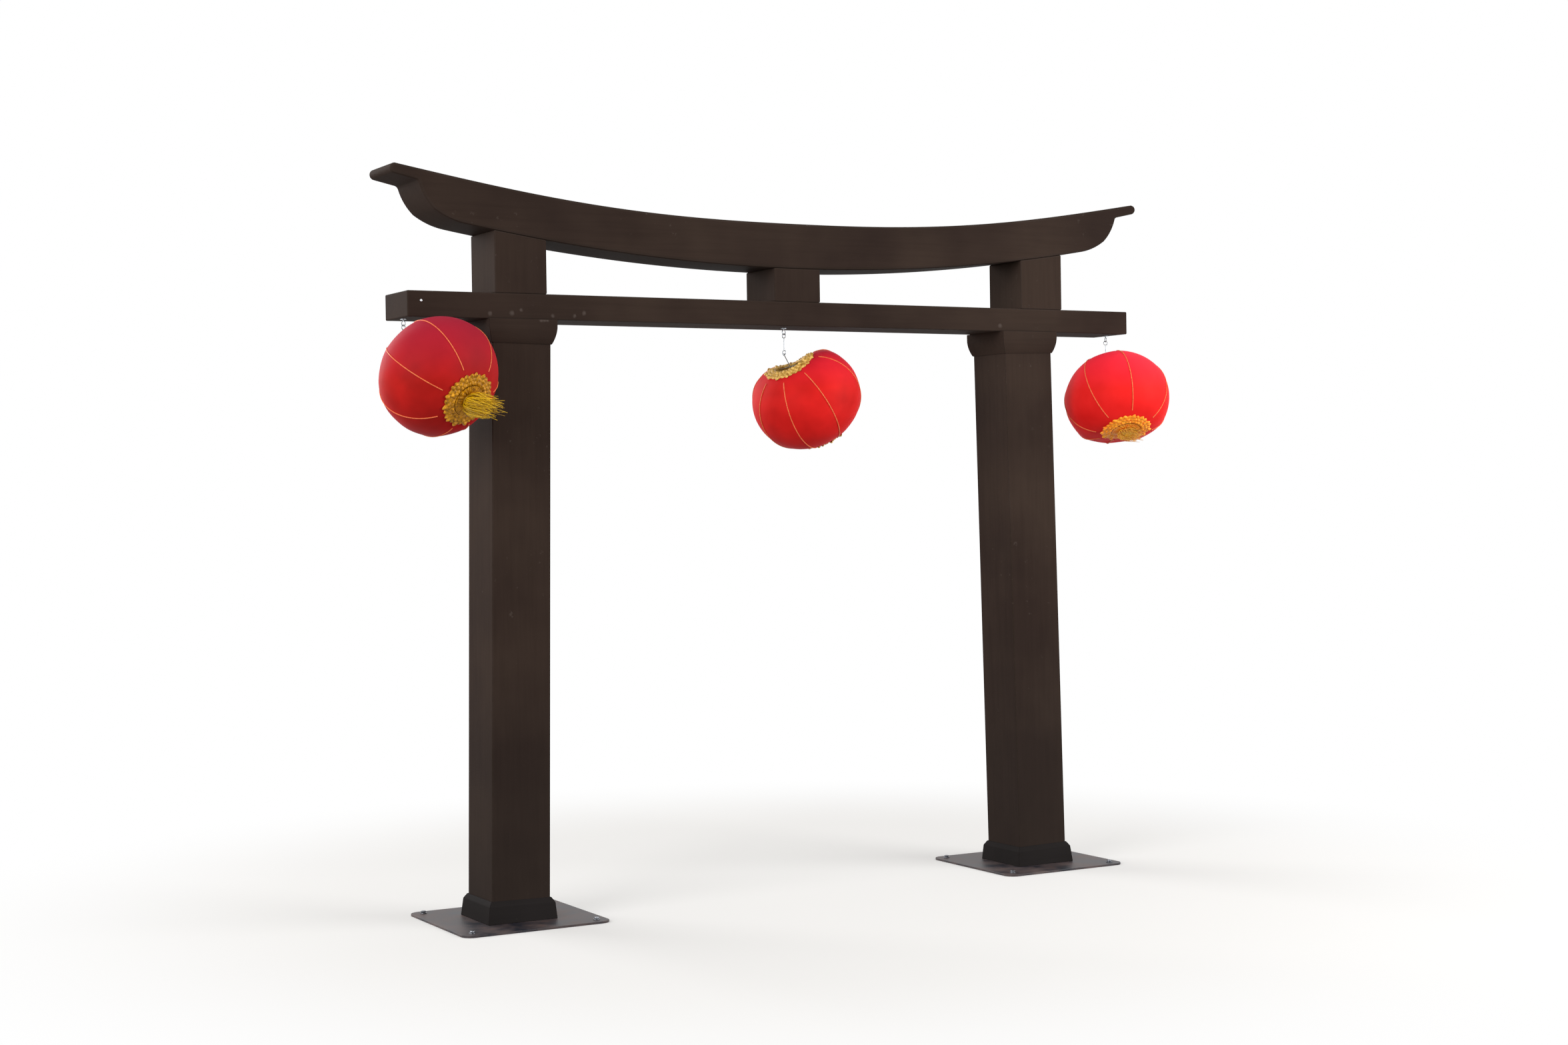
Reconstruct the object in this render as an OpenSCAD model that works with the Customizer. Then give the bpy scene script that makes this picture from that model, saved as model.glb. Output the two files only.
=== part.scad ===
// Torii gate on foot plates, with three round cloth lanterns hung under the tie beam.
// Millimetres. X runs along the gate, Y from the front to the back, Z up from the floor.
// The origin lies on the floor, under the middle of the left foot plate.

/* [Gate] */
// Clear height from the foot plates to the underside of the tie beam
clear_height = 2100; // [1800:10:2600]
// Depth of the posts, beams and struts, front to back
gate_depth = 220; // [160:5:280]

/* [Foot plates] */
// Side of each square steel foot plate
plate_size = 550; // [440:10:700]
// Thickness of each foot plate
plate_thickness = 8; // [5:1:16]
// Corner radius of each foot plate
plate_corner = 40; // [5:1:60]

/* [Posts] */
// Width of each post, along the gate
post_width = 220; // [160:5:260]
// How far each post's foot stands outside its head
post_lean = 40; // [0:5:90]
// How far the right post's head stands inside the right strut's centre
right_post_inset = 70; // [0:5:100]

/* [Mouldings] */
// Height of the moulding round each post's foot
base_height = 76; // [50:1:120]
// How far the foot moulding stands out from the post at the floor
base_projection = 20; // [12:1:40]
// How far it stands out where its bevel starts
base_waist = 14; // [8:1:30]
// Height of that bevel
base_bevel = 17; // [8:1:30]
// Height of the moulding round each post's head
capital_height = 84; // [60:1:130]
// How far the head moulding stands out from the post
capital_projection = 18; // [12:1:40]
// Height of the flat band at its top
capital_band = 26; // [10:1:50]
// How far the splay below that band bulges out of its chord
capital_bulge = 3; // [1:0.5:8]
// Edge thickness where a moulding meets the post's face
moulding_edge = 3; // [2:0.5:8]

/* [Tie beam] */
// Length of the tie beam
nuki_length = 3060; // [2600:10:3400]
// Height of the tie beam
nuki_height = 90; // [70:1:140]

/* [Struts] */
// Width of each strut between the tie beam and the top beam
strut_width = 195; // [120:5:260]
// Height of the middle strut
middle_strut_height = 123; // [80:1:220]

/* [Top beam] */
// How far each nose of the top beam reaches past the tie beam's end
kasagi_overhang = 52; // [0:2:200]
// Height of the top beam at its middle
kasagi_height = 167; // [130:1:220]
// Rise of the top edge from the middle to the noses
kasagi_rise = 145; // [60:1:220]
// Rise of the underside from the middle to an outer strut's centre
underside_rise = 80; // [30:1:120]
// Length of the lip that overhangs each end
lip_length = 100; // [60:1:140]
// Thickness of that lip
lip_thickness = 40; // [30:1:60]
// Radius of the lip's nose
nose_radius = 18; // [10:1:25]
// How far the curved end bulges out of its chord
end_bulge = 19; // [5:1:35]
// Horizontal run of the curved end below the lip
end_run = 108; // [80:1:150]
// Reach of the round between the curved end and the underside, each way from their corner
end_round = 60; // [20:1:75]

/* [Lanterns] */
// Greatest diameter of each lantern
lantern_diameter = 420; // [300:5:440]
// Height of each lantern's cloth
lantern_height = 340; // [240:5:360]
// Radius of the openings at the lantern's top and bottom
mouth_radius = 60; // [45:1:75]
// Width of the gilt trim round each opening, along the cloth
trim_width = 36; // [20:1:50]
// Thickness of the cloth shell
cloth = 2; // [1.5:0.1:4]
// Distance of the outer hooks from the ends of the tie beam
hook_inset = 25; // [15:1:120]
// Clearance between the left post's head and a lantern that hangs straight down
lantern_gap = 75; // [70:1:200]
// Drop from the tie beam to the point where a lantern swings
hanger_drop = 100; // [80:1:160]
// Distance from that point to the lantern's centre
bail_length = 205; // [190:1:260]
// Length of the tassel below the lantern
tassel_length = 70; // [40:1:120]
// Tilt of the left lantern from the vertical
left_tilt = 59; // [0:1:65]
// Compass direction in which the left lantern's foot swings
left_heading = -69; // [-180:1:180]
// Tilt of the middle lantern from the vertical
middle_tilt = 38; // [0:1:60]
// Compass direction in which the middle lantern's foot swings
middle_heading = 20; // [-180:1:180]
// Tilt of the right lantern from the vertical
right_tilt = 37; // [0:1:60]
// Compass direction in which the right lantern's foot swings
right_heading = -107; // [-180:1:180]

/* [Hidden] */
$fn = 48;
// Reach of a cutting block past what it cuts
over = 60;
// Overlap of two shapes that make one solid
weld = 1;
curve_steps = 40;
arc_steps = 14;
shade_steps = 36;
trim_steps = 10;

foot_z = plate_thickness;
nuki_z = foot_z + clear_height;
nuki_top_z = nuki_z + nuki_height;
kasagi_mid_z = nuki_top_z + middle_strut_height;
half_kasagi = nuki_length / 2 + kasagi_overhang;
// Shares of the top edge's rise that go with the square and the cube of the distance
sweep_square = 0.26;
sweep_cube = 1.62;
// Turn of the nose's round, in degrees
nose_turn = 165;
notch_x = half_kasagi - lip_length;
end_foot_x = notch_x - end_run;

hook_x = nuki_length / 2 - hook_inset;
strut_spacing = hook_x - lantern_diameter / 2 - lantern_gap - post_width / 2;
left_head_x = -strut_spacing;
right_head_x = strut_spacing - right_post_inset;
lean_angle = atan(post_lean / clear_height);

swing_z = nuki_z - hanger_drop;
// Where each lantern hangs: its place along the gate, heading and tilt
left_hang = [-hook_x, left_heading, left_tilt];
middle_hang = [0, middle_heading, middle_tilt];
right_hang = [hook_x, right_heading, right_tilt];
wire_r = 1.5;
shank_r = 2;
ring_gap = 0.5;
eye_r = 9;
eye_plate_r = 11;
eye_plate_t = 3;
eye_drop = 16;
loop_r = 8;
small_ring_r = 2 * wire_r + ring_gap;

lantern_side_r = lantern_height / 2;
lantern_core_r = lantern_diameter / 2 - lantern_side_r;
mouth_angle = acos((mouth_radius - lantern_core_r) / lantern_side_r);
mouth_z = lantern_side_r * sin(mouth_angle);
// Gap between the cloth and the gilt trim that lies on it
seat_gap = 0.3;
trim_t = 1.5;
trim_span = trim_width / lantern_side_r * 180 / PI;
// Gap between the opening's edge and the tube inside it
collar_gap = 1.3;
collar_wall = 2;
collar_height = 22;
collar_r = mouth_radius - collar_gap;
collar_lap_angle = acos((collar_r - collar_wall / 2 - lantern_core_r) / (lantern_side_r + seat_gap));
bar_r = 2;
bar_half = collar_r - collar_wall;
bar_inset = 6;
bar_z = mouth_z - bar_inset;
tassel_head_r = 11;
tassel_head_top = 6;
tassel_head_drop = 14;
tassel_foot_r = 24;
// How far the skirt bulges out of its chord
tassel_bulge = 4;

// Curves of the top beam

// Share of the rise reached at share u of the half length
function rise_share(u) =
  u * u * (sweep_square + sweep_cube * u + (1 - sweep_square - sweep_cube) * u * u);

// Height of the top edge at x
function top_z(x) = kasagi_mid_z + kasagi_height + kasagi_rise * rise_share(abs(x) / half_kasagi);

// Height of the underside at x
function under_z(x) = kasagi_mid_z + underside_rise * pow(x / strut_spacing, 2);

// Points between p and q on an arc that bulges to the left of that direction by s
function bulge(p, q, s) =
  let (c = norm(q - p), r = (c * c / 4 + s * s) / (2 * s), h = asin(c / (2 * r)))
  let (d = (q - p) / c, e = [-d[1], d[0]], m = (p + q) / 2 - e * (r - s))
  [for (i = [1 : arc_steps - 1]) let (t = -h + 2 * h * i / arc_steps) m + r * (d * sin(t) + e * cos(t))];

// Points after p on a round from p to q, with both of its ends aimed at c
function blend(p, c, q) =
  [for (i = [1 : arc_steps]) let (t = i / arc_steps) (1 - t) * (1 - t) * p + 2 * t * (1 - t) * c + t * t * q];

// Right half of the beam's outline, from the top's middle round the end to the underside's middle
function half_outline() =
  let (nose_x = half_kasagi - nose_radius, nose_z = top_z(nose_x) - nose_radius)
  let (notch = [notch_x, top_z(notch_x) - lip_thickness], foot = [end_foot_x, under_z(end_foot_x)])
  let (side = [for (p = bulge(notch, foot, end_bulge)) if (norm(p - foot) > end_round) p])
  let (low_x = end_foot_x - end_round)
  concat(
    [for (i = [0 : curve_steps]) let (x = nose_x * i / curve_steps) [x, top_z(x)]],
    [for (i = [1 : arc_steps]) let (t = 90 - nose_turn * i / arc_steps)
      [nose_x + nose_radius * cos(t), nose_z + nose_radius * sin(t)]],
    [notch],
    side,
    blend(side[len(side) - 1], foot, [low_x, under_z(low_x)]),
    [for (i = [curve_steps - 1 : -1 : 0]) let (x = low_x * i / curve_steps) [x, under_z(x)]]);

function full_outline() =
  let (r = half_outline(), n = len(r))
  concat(r, [for (i = [n - 2 : -1 : 1]) [-r[i][0], r[i][1]]]);

// Moves the gate so that the origin lies under the middle of the left foot plate
module placed() {
  translate([strut_spacing + post_lean, 0, 0])
    children();
}

module across(depth) {
  rotate([90, 0, 0])
    linear_extrude(height = depth, center = true)
      children();
}

// Posts and their mouldings

module foot_plate(x) {
  color("dimgray")
    translate([x, 0, 0])
      linear_extrude(height = plate_thickness)
        union() {
          square([plate_size - 2 * plate_corner, plate_size], center = true);
          square([plate_size, plate_size - 2 * plate_corner], center = true);
          for (i = [-1, 1])
            for (j = [-1, 1])
              translate([i * (plate_size / 2 - plate_corner), j * (plate_size / 2 - plate_corner)])
                circle(r = plate_corner);
        }
}

// Places a post's own frame: origin at the foot's centre, leaning so that the head meets head_x
module leaning(head_x, side) {
  translate([head_x + side * post_lean, 0, foot_z])
    rotate([0, -side * lean_angle, 0])
      children();
}

// The slab of space between the foot plates and the tie beam
module clear_space() {
  translate([-nuki_length, -gate_depth, foot_z])
    cube([2 * nuki_length, 2 * gate_depth, clear_height]);
}

module post(head_x, side) {
  color("saddlebrown")
    intersection() {
      leaning(head_x, side)
        translate([-post_width / 2, -gate_depth / 2, -over])
          cube([post_width, gate_depth, clear_height + 2 * over]);
      clear_space();
    }
}

// One length of moulding on the +Y face of a run, mitred at both ends
module moulding(profile, run, reach, low, high) {
  intersection() {
    rotate([90, 0, 90])
      linear_extrude(height = run + 2 * reach + 2 * over, center = true)
        polygon(profile);
    translate([0, 0, low])
      linear_extrude(height = high - low)
        polygon([[-run / 2, 0], [run / 2, 0], [run / 2 + reach, reach], [-run / 2 - reach, reach]]);
  }
}

// Two opposite lengths: the faces at turn 0, the sides at turn 90
module moulding_pair(profile, reach, low, high, turn) {
  run = turn == 0 ? post_width : gate_depth;
  away = turn == 0 ? gate_depth / 2 : post_width / 2;
  for (a = [turn, turn + 180])
    rotate([0, 0, a])
      translate([0, away, 0])
        moulding(profile, run, reach, low, high);
}

// Section of the foot moulding: flares out to the floor, with a bevel at its top
function base_profile() = [[0, -over], [base_projection, -over], [base_projection, 0],
  [base_waist, base_height - base_bevel], [moulding_edge, base_height], [0, base_height]];

// Section of the head moulding: a flat band, then a full splay down to the post
function capital_profile() =
  let (low = [moulding_edge, clear_height - capital_height])
  let (high = [capital_projection, clear_height - capital_band])
  concat([[0, clear_height + over], [capital_projection, clear_height + over], high],
    bulge(high, low, capital_bulge),
    [low, [0, low[1]]]);

module base_mouldings(head_x, side, turn) {
  color("black")
    intersection() {
      leaning(head_x, side)
        moulding_pair(base_profile(), base_projection, -over, base_height, turn);
      clear_space();
    }
}

module capital_mouldings(head_x, side, turn) {
  color("saddlebrown")
    intersection() {
      leaning(head_x, side)
        moulding_pair(capital_profile(), capital_projection, clear_height - capital_height,
          clear_height + over, turn);
      clear_space();
    }
}

// Beams and struts

module nuki() {
  color("saddlebrown")
    translate([-nuki_length / 2, -gate_depth / 2, nuki_z])
      cube([nuki_length, gate_depth, nuki_height]);
}

module kasagi_body(depth) {
  across(depth)
    polygon(full_outline());
}

module kasagi() {
  color("saddlebrown")
    kasagi_body(gate_depth);
}

module strut(x) {
  color("saddlebrown")
    difference() {
      translate([x - strut_width / 2, -gate_depth / 2, nuki_top_z])
        cube([strut_width, gate_depth, under_z(abs(x) + strut_width / 2) + weld - nuki_top_z]);
      kasagi_body(gate_depth + 2 * over);
    }
}

// Hooks and hangers, each in the frame of the point where a lantern swings

module at_swing(hang) {
  translate([hang[0], 0, swing_z])
    rotate([0, 0, hang[1]])
      children();
}

module ring(radius) {
  rotate_extrude()
    translate([radius, 0])
      circle(r = wire_r, $fn = 24);
}

module hook(hang) {
  color("silver")
    at_swing(hang)
      union() {
        translate([0, 0, hanger_drop - eye_plate_t])
          cylinder(r = eye_plate_r, h = eye_plate_t);
        translate([0, 0, hanger_drop - eye_drop])
          rotate([90, 0, 0])
            ring(eye_r);
        translate([0, 0, hanger_drop - eye_drop + eye_r])
          cylinder(r = shank_r, h = eye_drop - eye_r - eye_plate_t + weld);
      }
}

module hanger(hang) {
  eye_low = hanger_drop - eye_drop - eye_r;
  top_loop = eye_low + 2 * wire_r + ring_gap - loop_r;
  color("silver")
    at_swing(hang)
      union() {
        translate([0, 0, top_loop])
          rotate([0, 90, 0])
            ring(loop_r);
        translate([0, 0, loop_r])
          rotate([0, 90, 0])
            ring(loop_r);
        translate([0, 0, 2 * loop_r])
          cylinder(r = wire_r, h = top_loop - 3 * loop_r);
      }
}

// Lanterns, each hanging straight down from the swing point before it is tilted

module lantern_frame(hang) {
  at_swing(hang)
    rotate([0, -hang[2], 0])
      translate([0, 0, -bail_length])
        children();
}

// Section of a skin on the cloth between two angles from the equator, out by near to far
function skin(near, far, from, to, n) =
  concat(
    [for (i = [0 : n]) let (t = from + (to - from) * i / n)
      [lantern_core_r + (lantern_side_r + far) * cos(t), (lantern_side_r + far) * sin(t)]],
    [for (i = [n : -1 : 0]) let (t = from + (to - from) * i / n)
      [lantern_core_r + (lantern_side_r + near) * cos(t), (lantern_side_r + near) * sin(t)]]);

module shade(hang) {
  color("red")
    lantern_frame(hang)
      rotate_extrude()
        polygon(skin(-cloth, 0, -mouth_angle, mouth_angle, shade_steps));
}

// Gilt trim on the cloth with a short tube down the opening
module collar() {
  union() {
    rotate_extrude()
      polygon(skin(seat_gap, seat_gap + trim_t, mouth_angle - trim_span, collar_lap_angle, trim_steps));
    translate([0, 0, mouth_z - collar_height])
      difference() {
        cylinder(r = collar_r, h = collar_height + seat_gap + trim_t);
        translate([0, 0, -weld])
          cylinder(r = collar_r - collar_wall, h = collar_height + over);
      }
  }
}

module top_collar(hang) {
  color("gold")
    lantern_frame(hang)
      collar();
}

module bottom_collar(hang) {
  color("gold")
    lantern_frame(hang)
      mirror([0, 0, 1])
        collar();
}

module cross_bar() {
  rotate([90, 0, 0])
    cylinder(r = bar_r, h = 2 * bar_half, center = true);
}

module bail(hang) {
  color("silver")
    lantern_frame(hang)
      union() {
        translate([0, 0, bar_z])
          cross_bar();
        translate([0, 0, bar_z])
          cylinder(r = wire_r, h = bail_length - bar_z - small_ring_r);
        translate([0, 0, bail_length])
          rotate([90, 0, 0])
            ring(small_ring_r);
      }
}

module tassel_bar(hang) {
  color("silver")
    lantern_frame(hang)
      translate([0, 0, -bar_z])
        cross_bar();
}

// Section of a tassel: a round head over the bar, a neck and a full skirt of threads
function tassel_section() =
  let (head_z = tassel_head_top - tassel_head_r, last = -asin((tassel_head_drop + head_z) / tassel_head_r))
  let (neck = [tassel_head_r * cos(last), -tassel_head_drop])
  let (hem = [tassel_foot_r, -tassel_head_drop - tassel_length])
  concat(
    [for (i = [0 : arc_steps]) let (t = 90 + (last - 90) * i / arc_steps)
      [tassel_head_r * cos(t), head_z + tassel_head_r * sin(t)]],
    bulge(neck, hem, tassel_bulge),
    [hem, [0, hem[1]]]);

module tassel(hang) {
  color("gold")
    lantern_frame(hang)
      translate([0, 0, -bar_z])
        difference() {
          rotate_extrude()
            polygon(tassel_section());
          rotate([90, 0, 0])
            cylinder(r = bar_r + seat_gap, h = 2 * tassel_head_r + over, center = true);
        }
}

placed() foot_plate(left_head_x - post_lean);  // left_foot_plate
placed() foot_plate(right_head_x + post_lean);  // right_foot_plate
placed() post(left_head_x, -1);  // left_post
placed() post(right_head_x, 1);  // right_post
placed() base_mouldings(left_head_x, -1, 0);  // left_base_face_mouldings
placed() base_mouldings(left_head_x, -1, 90);  // left_base_side_mouldings
placed() base_mouldings(right_head_x, 1, 0);  // right_base_face_mouldings
placed() base_mouldings(right_head_x, 1, 90);  // right_base_side_mouldings
placed() capital_mouldings(left_head_x, -1, 0);  // left_capital_face_mouldings
placed() capital_mouldings(left_head_x, -1, 90);  // left_capital_side_mouldings
placed() capital_mouldings(right_head_x, 1, 0);  // right_capital_face_mouldings
placed() capital_mouldings(right_head_x, 1, 90);  // right_capital_side_mouldings
placed() nuki();
placed() strut(-strut_spacing);  // left_strut
placed() strut(0);  // middle_strut
placed() strut(strut_spacing);  // right_strut
placed() kasagi();
placed() hook(left_hang);  // left_hook
placed() hook(middle_hang);  // middle_hook
placed() hook(right_hang);  // right_hook
placed() hanger(left_hang);  // left_hanger
placed() hanger(middle_hang);  // middle_hanger
placed() hanger(right_hang);  // right_hanger
placed() shade(left_hang);  // left_lantern_shade
placed() top_collar(left_hang);  // left_lantern_top_collar
placed() bottom_collar(left_hang);  // left_lantern_bottom_collar
placed() bail(left_hang);  // left_lantern_bail
placed() tassel_bar(left_hang);  // left_lantern_tassel_bar
placed() tassel(left_hang);  // left_lantern_tassel
placed() shade(middle_hang);  // middle_lantern_shade
placed() top_collar(middle_hang);  // middle_lantern_top_collar
placed() bottom_collar(middle_hang);  // middle_lantern_bottom_collar
placed() bail(middle_hang);  // middle_lantern_bail
placed() tassel_bar(middle_hang);  // middle_lantern_tassel_bar
placed() tassel(middle_hang);  // middle_lantern_tassel
placed() shade(right_hang);  // right_lantern_shade
placed() top_collar(right_hang);  // right_lantern_top_collar
placed() bottom_collar(right_hang);  // right_lantern_bottom_collar
placed() bail(right_hang);  // right_lantern_bail
placed() tassel_bar(right_hang);  // right_lantern_tassel_bar
placed() tassel(right_hang);  // right_lantern_tassel
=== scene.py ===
"""Looks of the torii gate: painted timber, steel foot plates and three red cloth lanterns.

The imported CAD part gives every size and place. This script rounds the timbers' edges, makes the cloth,
ribs, gilt trims and tassels of the lanterns, adds the small fixings, and gives every surface its finish.
"""

import logging
import random
from dataclasses import dataclass
from enum import Enum
from functools import partial
from math import acos, atan2, cos, degrees, exp, hypot, pi, radians, sin, sqrt, tau
from typing import Any, Callable, Sequence

import bpy
from bpy.types import ID, Material, Node, NodeTree, Object
from mathutils import Matrix, Vector


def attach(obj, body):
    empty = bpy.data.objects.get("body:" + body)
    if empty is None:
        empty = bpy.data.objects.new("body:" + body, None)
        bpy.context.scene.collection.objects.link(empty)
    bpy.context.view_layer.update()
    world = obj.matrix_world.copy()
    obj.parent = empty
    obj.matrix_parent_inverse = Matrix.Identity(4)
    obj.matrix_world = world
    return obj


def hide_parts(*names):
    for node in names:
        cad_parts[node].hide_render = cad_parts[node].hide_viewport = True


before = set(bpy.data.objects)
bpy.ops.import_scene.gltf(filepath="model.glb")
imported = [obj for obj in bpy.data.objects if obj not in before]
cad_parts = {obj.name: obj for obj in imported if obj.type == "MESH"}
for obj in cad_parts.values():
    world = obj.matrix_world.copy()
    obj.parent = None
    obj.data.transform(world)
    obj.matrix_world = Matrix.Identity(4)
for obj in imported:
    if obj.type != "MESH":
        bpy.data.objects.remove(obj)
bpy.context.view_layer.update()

MM = 0.001
GOLDEN_ANGLE = 2.399963
FLAT_DEGREES = 0.06
EDGE_DEGREES = 24
LOG = logging.getLogger("torii_gate")
Point = tuple[float, float, float]
Inputs = dict[int | str, Any]
Add = Callable[..., Node]


class Side(Enum):
    """The three places under the tie beam where a lantern hangs."""

    LEFT = "left"
    MIDDLE = "middle"
    RIGHT = "right"


class Grain(Enum):
    """The way a timber's grain runs, as the stretch of its pattern on X, Y and Z."""

    UPRIGHT = (1.0, 1.0, 0.05)
    LENGTHWISE = (0.05, 1.0, 1.0)


class Mouth(Enum):
    """The two openings of a lantern, with the sign of their place on its axis."""

    TOP = 1
    BOTTOM = -1


# Node and mesh helpers


def linear(code: str) -> tuple[float, float, float, float]:
    """Turns an sRGB hex colour into linear RGBA.

    Args:
        code: six hex digits, with or without a leading hash.

    Returns:
        Red, green, blue and an alpha of 1.
    """
    parts = [int(code.lstrip("#")[i : i + 2], 16) / 255 for i in (0, 2, 4)]
    red, green, blue = (c / 12.92 if c <= 0.04045 else ((c + 0.055) / 1.055) ** 2.4 for c in parts)
    return red, green, blue, 1.0


def set_inputs(node: Node, values: Inputs | None = None, links: Inputs | None = None) -> None:
    """Sets a node's constants and links.

    Args:
        node: the node.
        values: constants by input name or number.
        links: what to link from, by input name or number: a socket, or a node for its first output in use.
    """
    for key, value in (values or {}).items():
        node.inputs[key].default_value = value
    for key, source in (links or {}).items():
        if isinstance(source, Node):
            source = next(o for o in source.outputs if o.enabled)
        node.id_data.links.new(source, node.inputs[key])


def add_node(
    tree: NodeTree, kind: str, values: Inputs | None = None, links: Inputs | None = None, **settings: Any
) -> Node:
    """Adds one shader node with its settings and links.

    Args:
        tree: the tree that gets the node.
        kind: the node's Blender type without its ShaderNode prefix.
        values: as for set_inputs.
        links: as for set_inputs.
        **settings: properties of the node itself.

    Returns:
        The new node.
    """
    node = tree.nodes.new(f"ShaderNode{kind}")
    for key, value in settings.items():
        setattr(node, key, value)
    set_inputs(node, values, links)
    return node


def seen_mask(add: Add) -> Node:
    """Adds a mask for the rays that see the background.

    Args:
        add: adds a node to the tree.

    Returns:
        1 for rays straight from the camera, reflected or through glass, and 0 for the rest.
    """
    rays = add("LightPath").outputs
    mask = rays["Is Camera Ray"]
    for kind in ("Is Glossy Ray", "Is Transmission Ray"):
        mask = add("Math", links={0: mask, 1: rays[kind]}, operation="MAXIMUM")
    return mask


def select_only(obj: Object) -> None:
    """Deselects everything else and makes one object active."""
    bpy.ops.object.select_all(action="DESELECT")
    obj.select_set(True)
    bpy.context.view_layer.objects.active = obj


def start_edit(obj: Object) -> None:
    """Opens one object in edit mode with all of its mesh selected."""
    select_only(obj)
    bpy.ops.object.mode_set(mode="EDIT")
    bpy.ops.mesh.select_all(action="SELECT")


def end_edit() -> None:
    """Goes back to object mode."""
    bpy.ops.object.mode_set(mode="OBJECT")


def close_edit(merge: float = 0.0) -> None:
    """Merges points within some mm, if any, turns the faces outward and leaves edit mode."""
    bpy.ops.mesh.select_all(action="SELECT")
    if merge:
        bpy.ops.mesh.remove_doubles(threshold=merge * MM)
    bpy.ops.mesh.normals_make_consistent(inside=False)
    end_edit()


def add_object(name: str, data: ID) -> Object:
    """Adds an object with its data to the scene and returns it."""
    obj = bpy.data.objects.new(name, data)
    bpy.context.scene.collection.objects.link(obj)
    return obj


def added(name: str) -> Object:
    """Names the object that was just added and returns it."""
    obj = bpy.context.view_layer.objects.active
    obj.name = name
    obj.data.name = name
    return obj


def primitive(add: Callable[..., Any], name: str, **settings: Any) -> Object:
    """Adds a primitive and applies its place.

    Args:
        add: the operator that adds it.
        name: its name.
        **settings: the operator's settings.

    Returns:
        The primitive, with its origin at the frame's.
    """
    bpy.ops.object.select_all(action="DESELECT")
    add(**settings)
    bpy.ops.object.transform_apply(location=True)
    return added(name)


def disc(name: str, corners: int, radius: float, height: float = 0.0) -> Object:
    """Models a level disc from its number of corners and its sizes in metres, and returns it."""
    add = bpy.ops.mesh.primitive_circle_add
    return primitive(add, name, vertices=corners, radius=radius, fill_type="NGON", location=(0, 0, height))


def stud(
    name: str, corners: int, radius: float, low: float, height: float, arris: float, segments: int = 2
) -> Object:
    """Models a short upright cylinder with rounded rims, from its sizes in mm, and returns it."""
    piece = primitive(
        bpy.ops.mesh.primitive_cylinder_add,
        name,
        vertices=corners,
        radius=radius * MM,
        depth=height * MM,
        location=(0, 0, (low + height / 2) * MM),
    )
    apply_modifier(piece, "BEVEL", width=arris * MM, segments=segments, limit_method="ANGLE")
    return piece


def apply_modifier(obj: Object, kind: str, **settings: Any) -> None:
    """Adds a modifier with its settings and applies it.

    Args:
        obj: the piece.
        kind: the modifier's Blender type.
        **settings: properties of the modifier.
    """
    modifier = obj.modifiers.new(kind.title(), kind)
    for key, value in settings.items():
        setattr(modifier, key, value)
    select_only(obj)
    bpy.ops.object.modifier_apply(modifier=modifier.name)


def smooth(obj: Object, limit: float) -> None:
    """Shades a piece smooth, apart from edges sharper than a limit in degrees."""
    select_only(obj)
    bpy.ops.object.shade_smooth_by_angle(angle=radians(limit))


def coat(obj: Object, material: Material, limit: float) -> None:
    """Gives a piece one finish and shades it smooth, apart from edges sharper than a limit in degrees."""
    obj.data.materials.clear()
    obj.data.materials.append(material)
    smooth(obj, limit)


def shade_yarn(obj: Object, shade: float) -> None:
    """Stores one piece of yarn's painted shade on its points, from 0 for shaded to 1 for lit."""
    layer = obj.data.attributes.new("strand", "FLOAT", "POINT")
    layer.data.foreach_set("value", [shade] * len(obj.data.vertices))


def join(pieces: Sequence[Object], name: str) -> Object:
    """Joins pieces into one object.

    Args:
        pieces: two or more pieces, of which the first one is kept.
        name: the joined object's name.

    Returns:
        The joined object.
    """
    select_only(pieces[0])
    for piece in pieces[1:]:
        piece.select_set(True)
    bpy.ops.object.join()
    return added(name)


def settle(obj: Object, place: Matrix) -> None:
    """Moves a piece to its place and applies that to its mesh."""
    obj.matrix_world = place
    select_only(obj)
    bpy.ops.object.transform_apply(location=True, rotation=True, scale=True)


def copy_of(obj: Object, place: Matrix) -> Object:
    """Copies a piece with its own mesh, bakes a new place into the copy and returns it."""
    twin = add_object(obj.name, obj.data.copy())
    settle(twin, place)
    return twin


def solid_copy(node: str, name: str) -> Object:
    """Copies a CAD node, merges its corners and returns it, left open in edit mode."""
    piece = add_object(name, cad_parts[node].data.copy())
    start_edit(piece)
    bpy.ops.mesh.remove_doubles(threshold=0.01 * MM)
    return piece


def move_points(obj: Object, where: Callable[[Vector], Vector]) -> None:
    """Moves each point of a mesh to the place that a rule gives for it."""
    for vertex in obj.data.vertices:
        vertex.co = where(vertex.co.copy())
    obj.data.update()


def spun(name: str, profile: Sequence[tuple[float, float]], steps: int) -> Object:
    """Draws a profile point by point and spins it round the Z axis.

    Args:
        name: the piece's name.
        profile: radius and height of each point, in mm.
        steps: how many steps make the full turn.

    Returns:
        The turned shell, without thickness.
    """
    shell = primitive(bpy.ops.mesh.primitive_plane_add, name, size=MM)
    start_edit(shell)
    bpy.ops.mesh.merge(type="CENTER")
    here = Vector((0.0, 0.0, 0.0))
    for i, (radius, height) in enumerate(profile):
        there = Vector((radius, 0.0, height)) * MM
        if i:
            bpy.ops.mesh.extrude_region_move(TRANSFORM_OT_translate={"value": there - here})
        else:
            bpy.ops.transform.translate(value=there)
        here = there
    bpy.ops.mesh.select_all(action="SELECT")
    bpy.ops.mesh.spin(steps=steps, angle=tau, center=(0, 0, 0), axis=(0, 0, 1))
    close_edit(0.05)
    return shell


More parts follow.
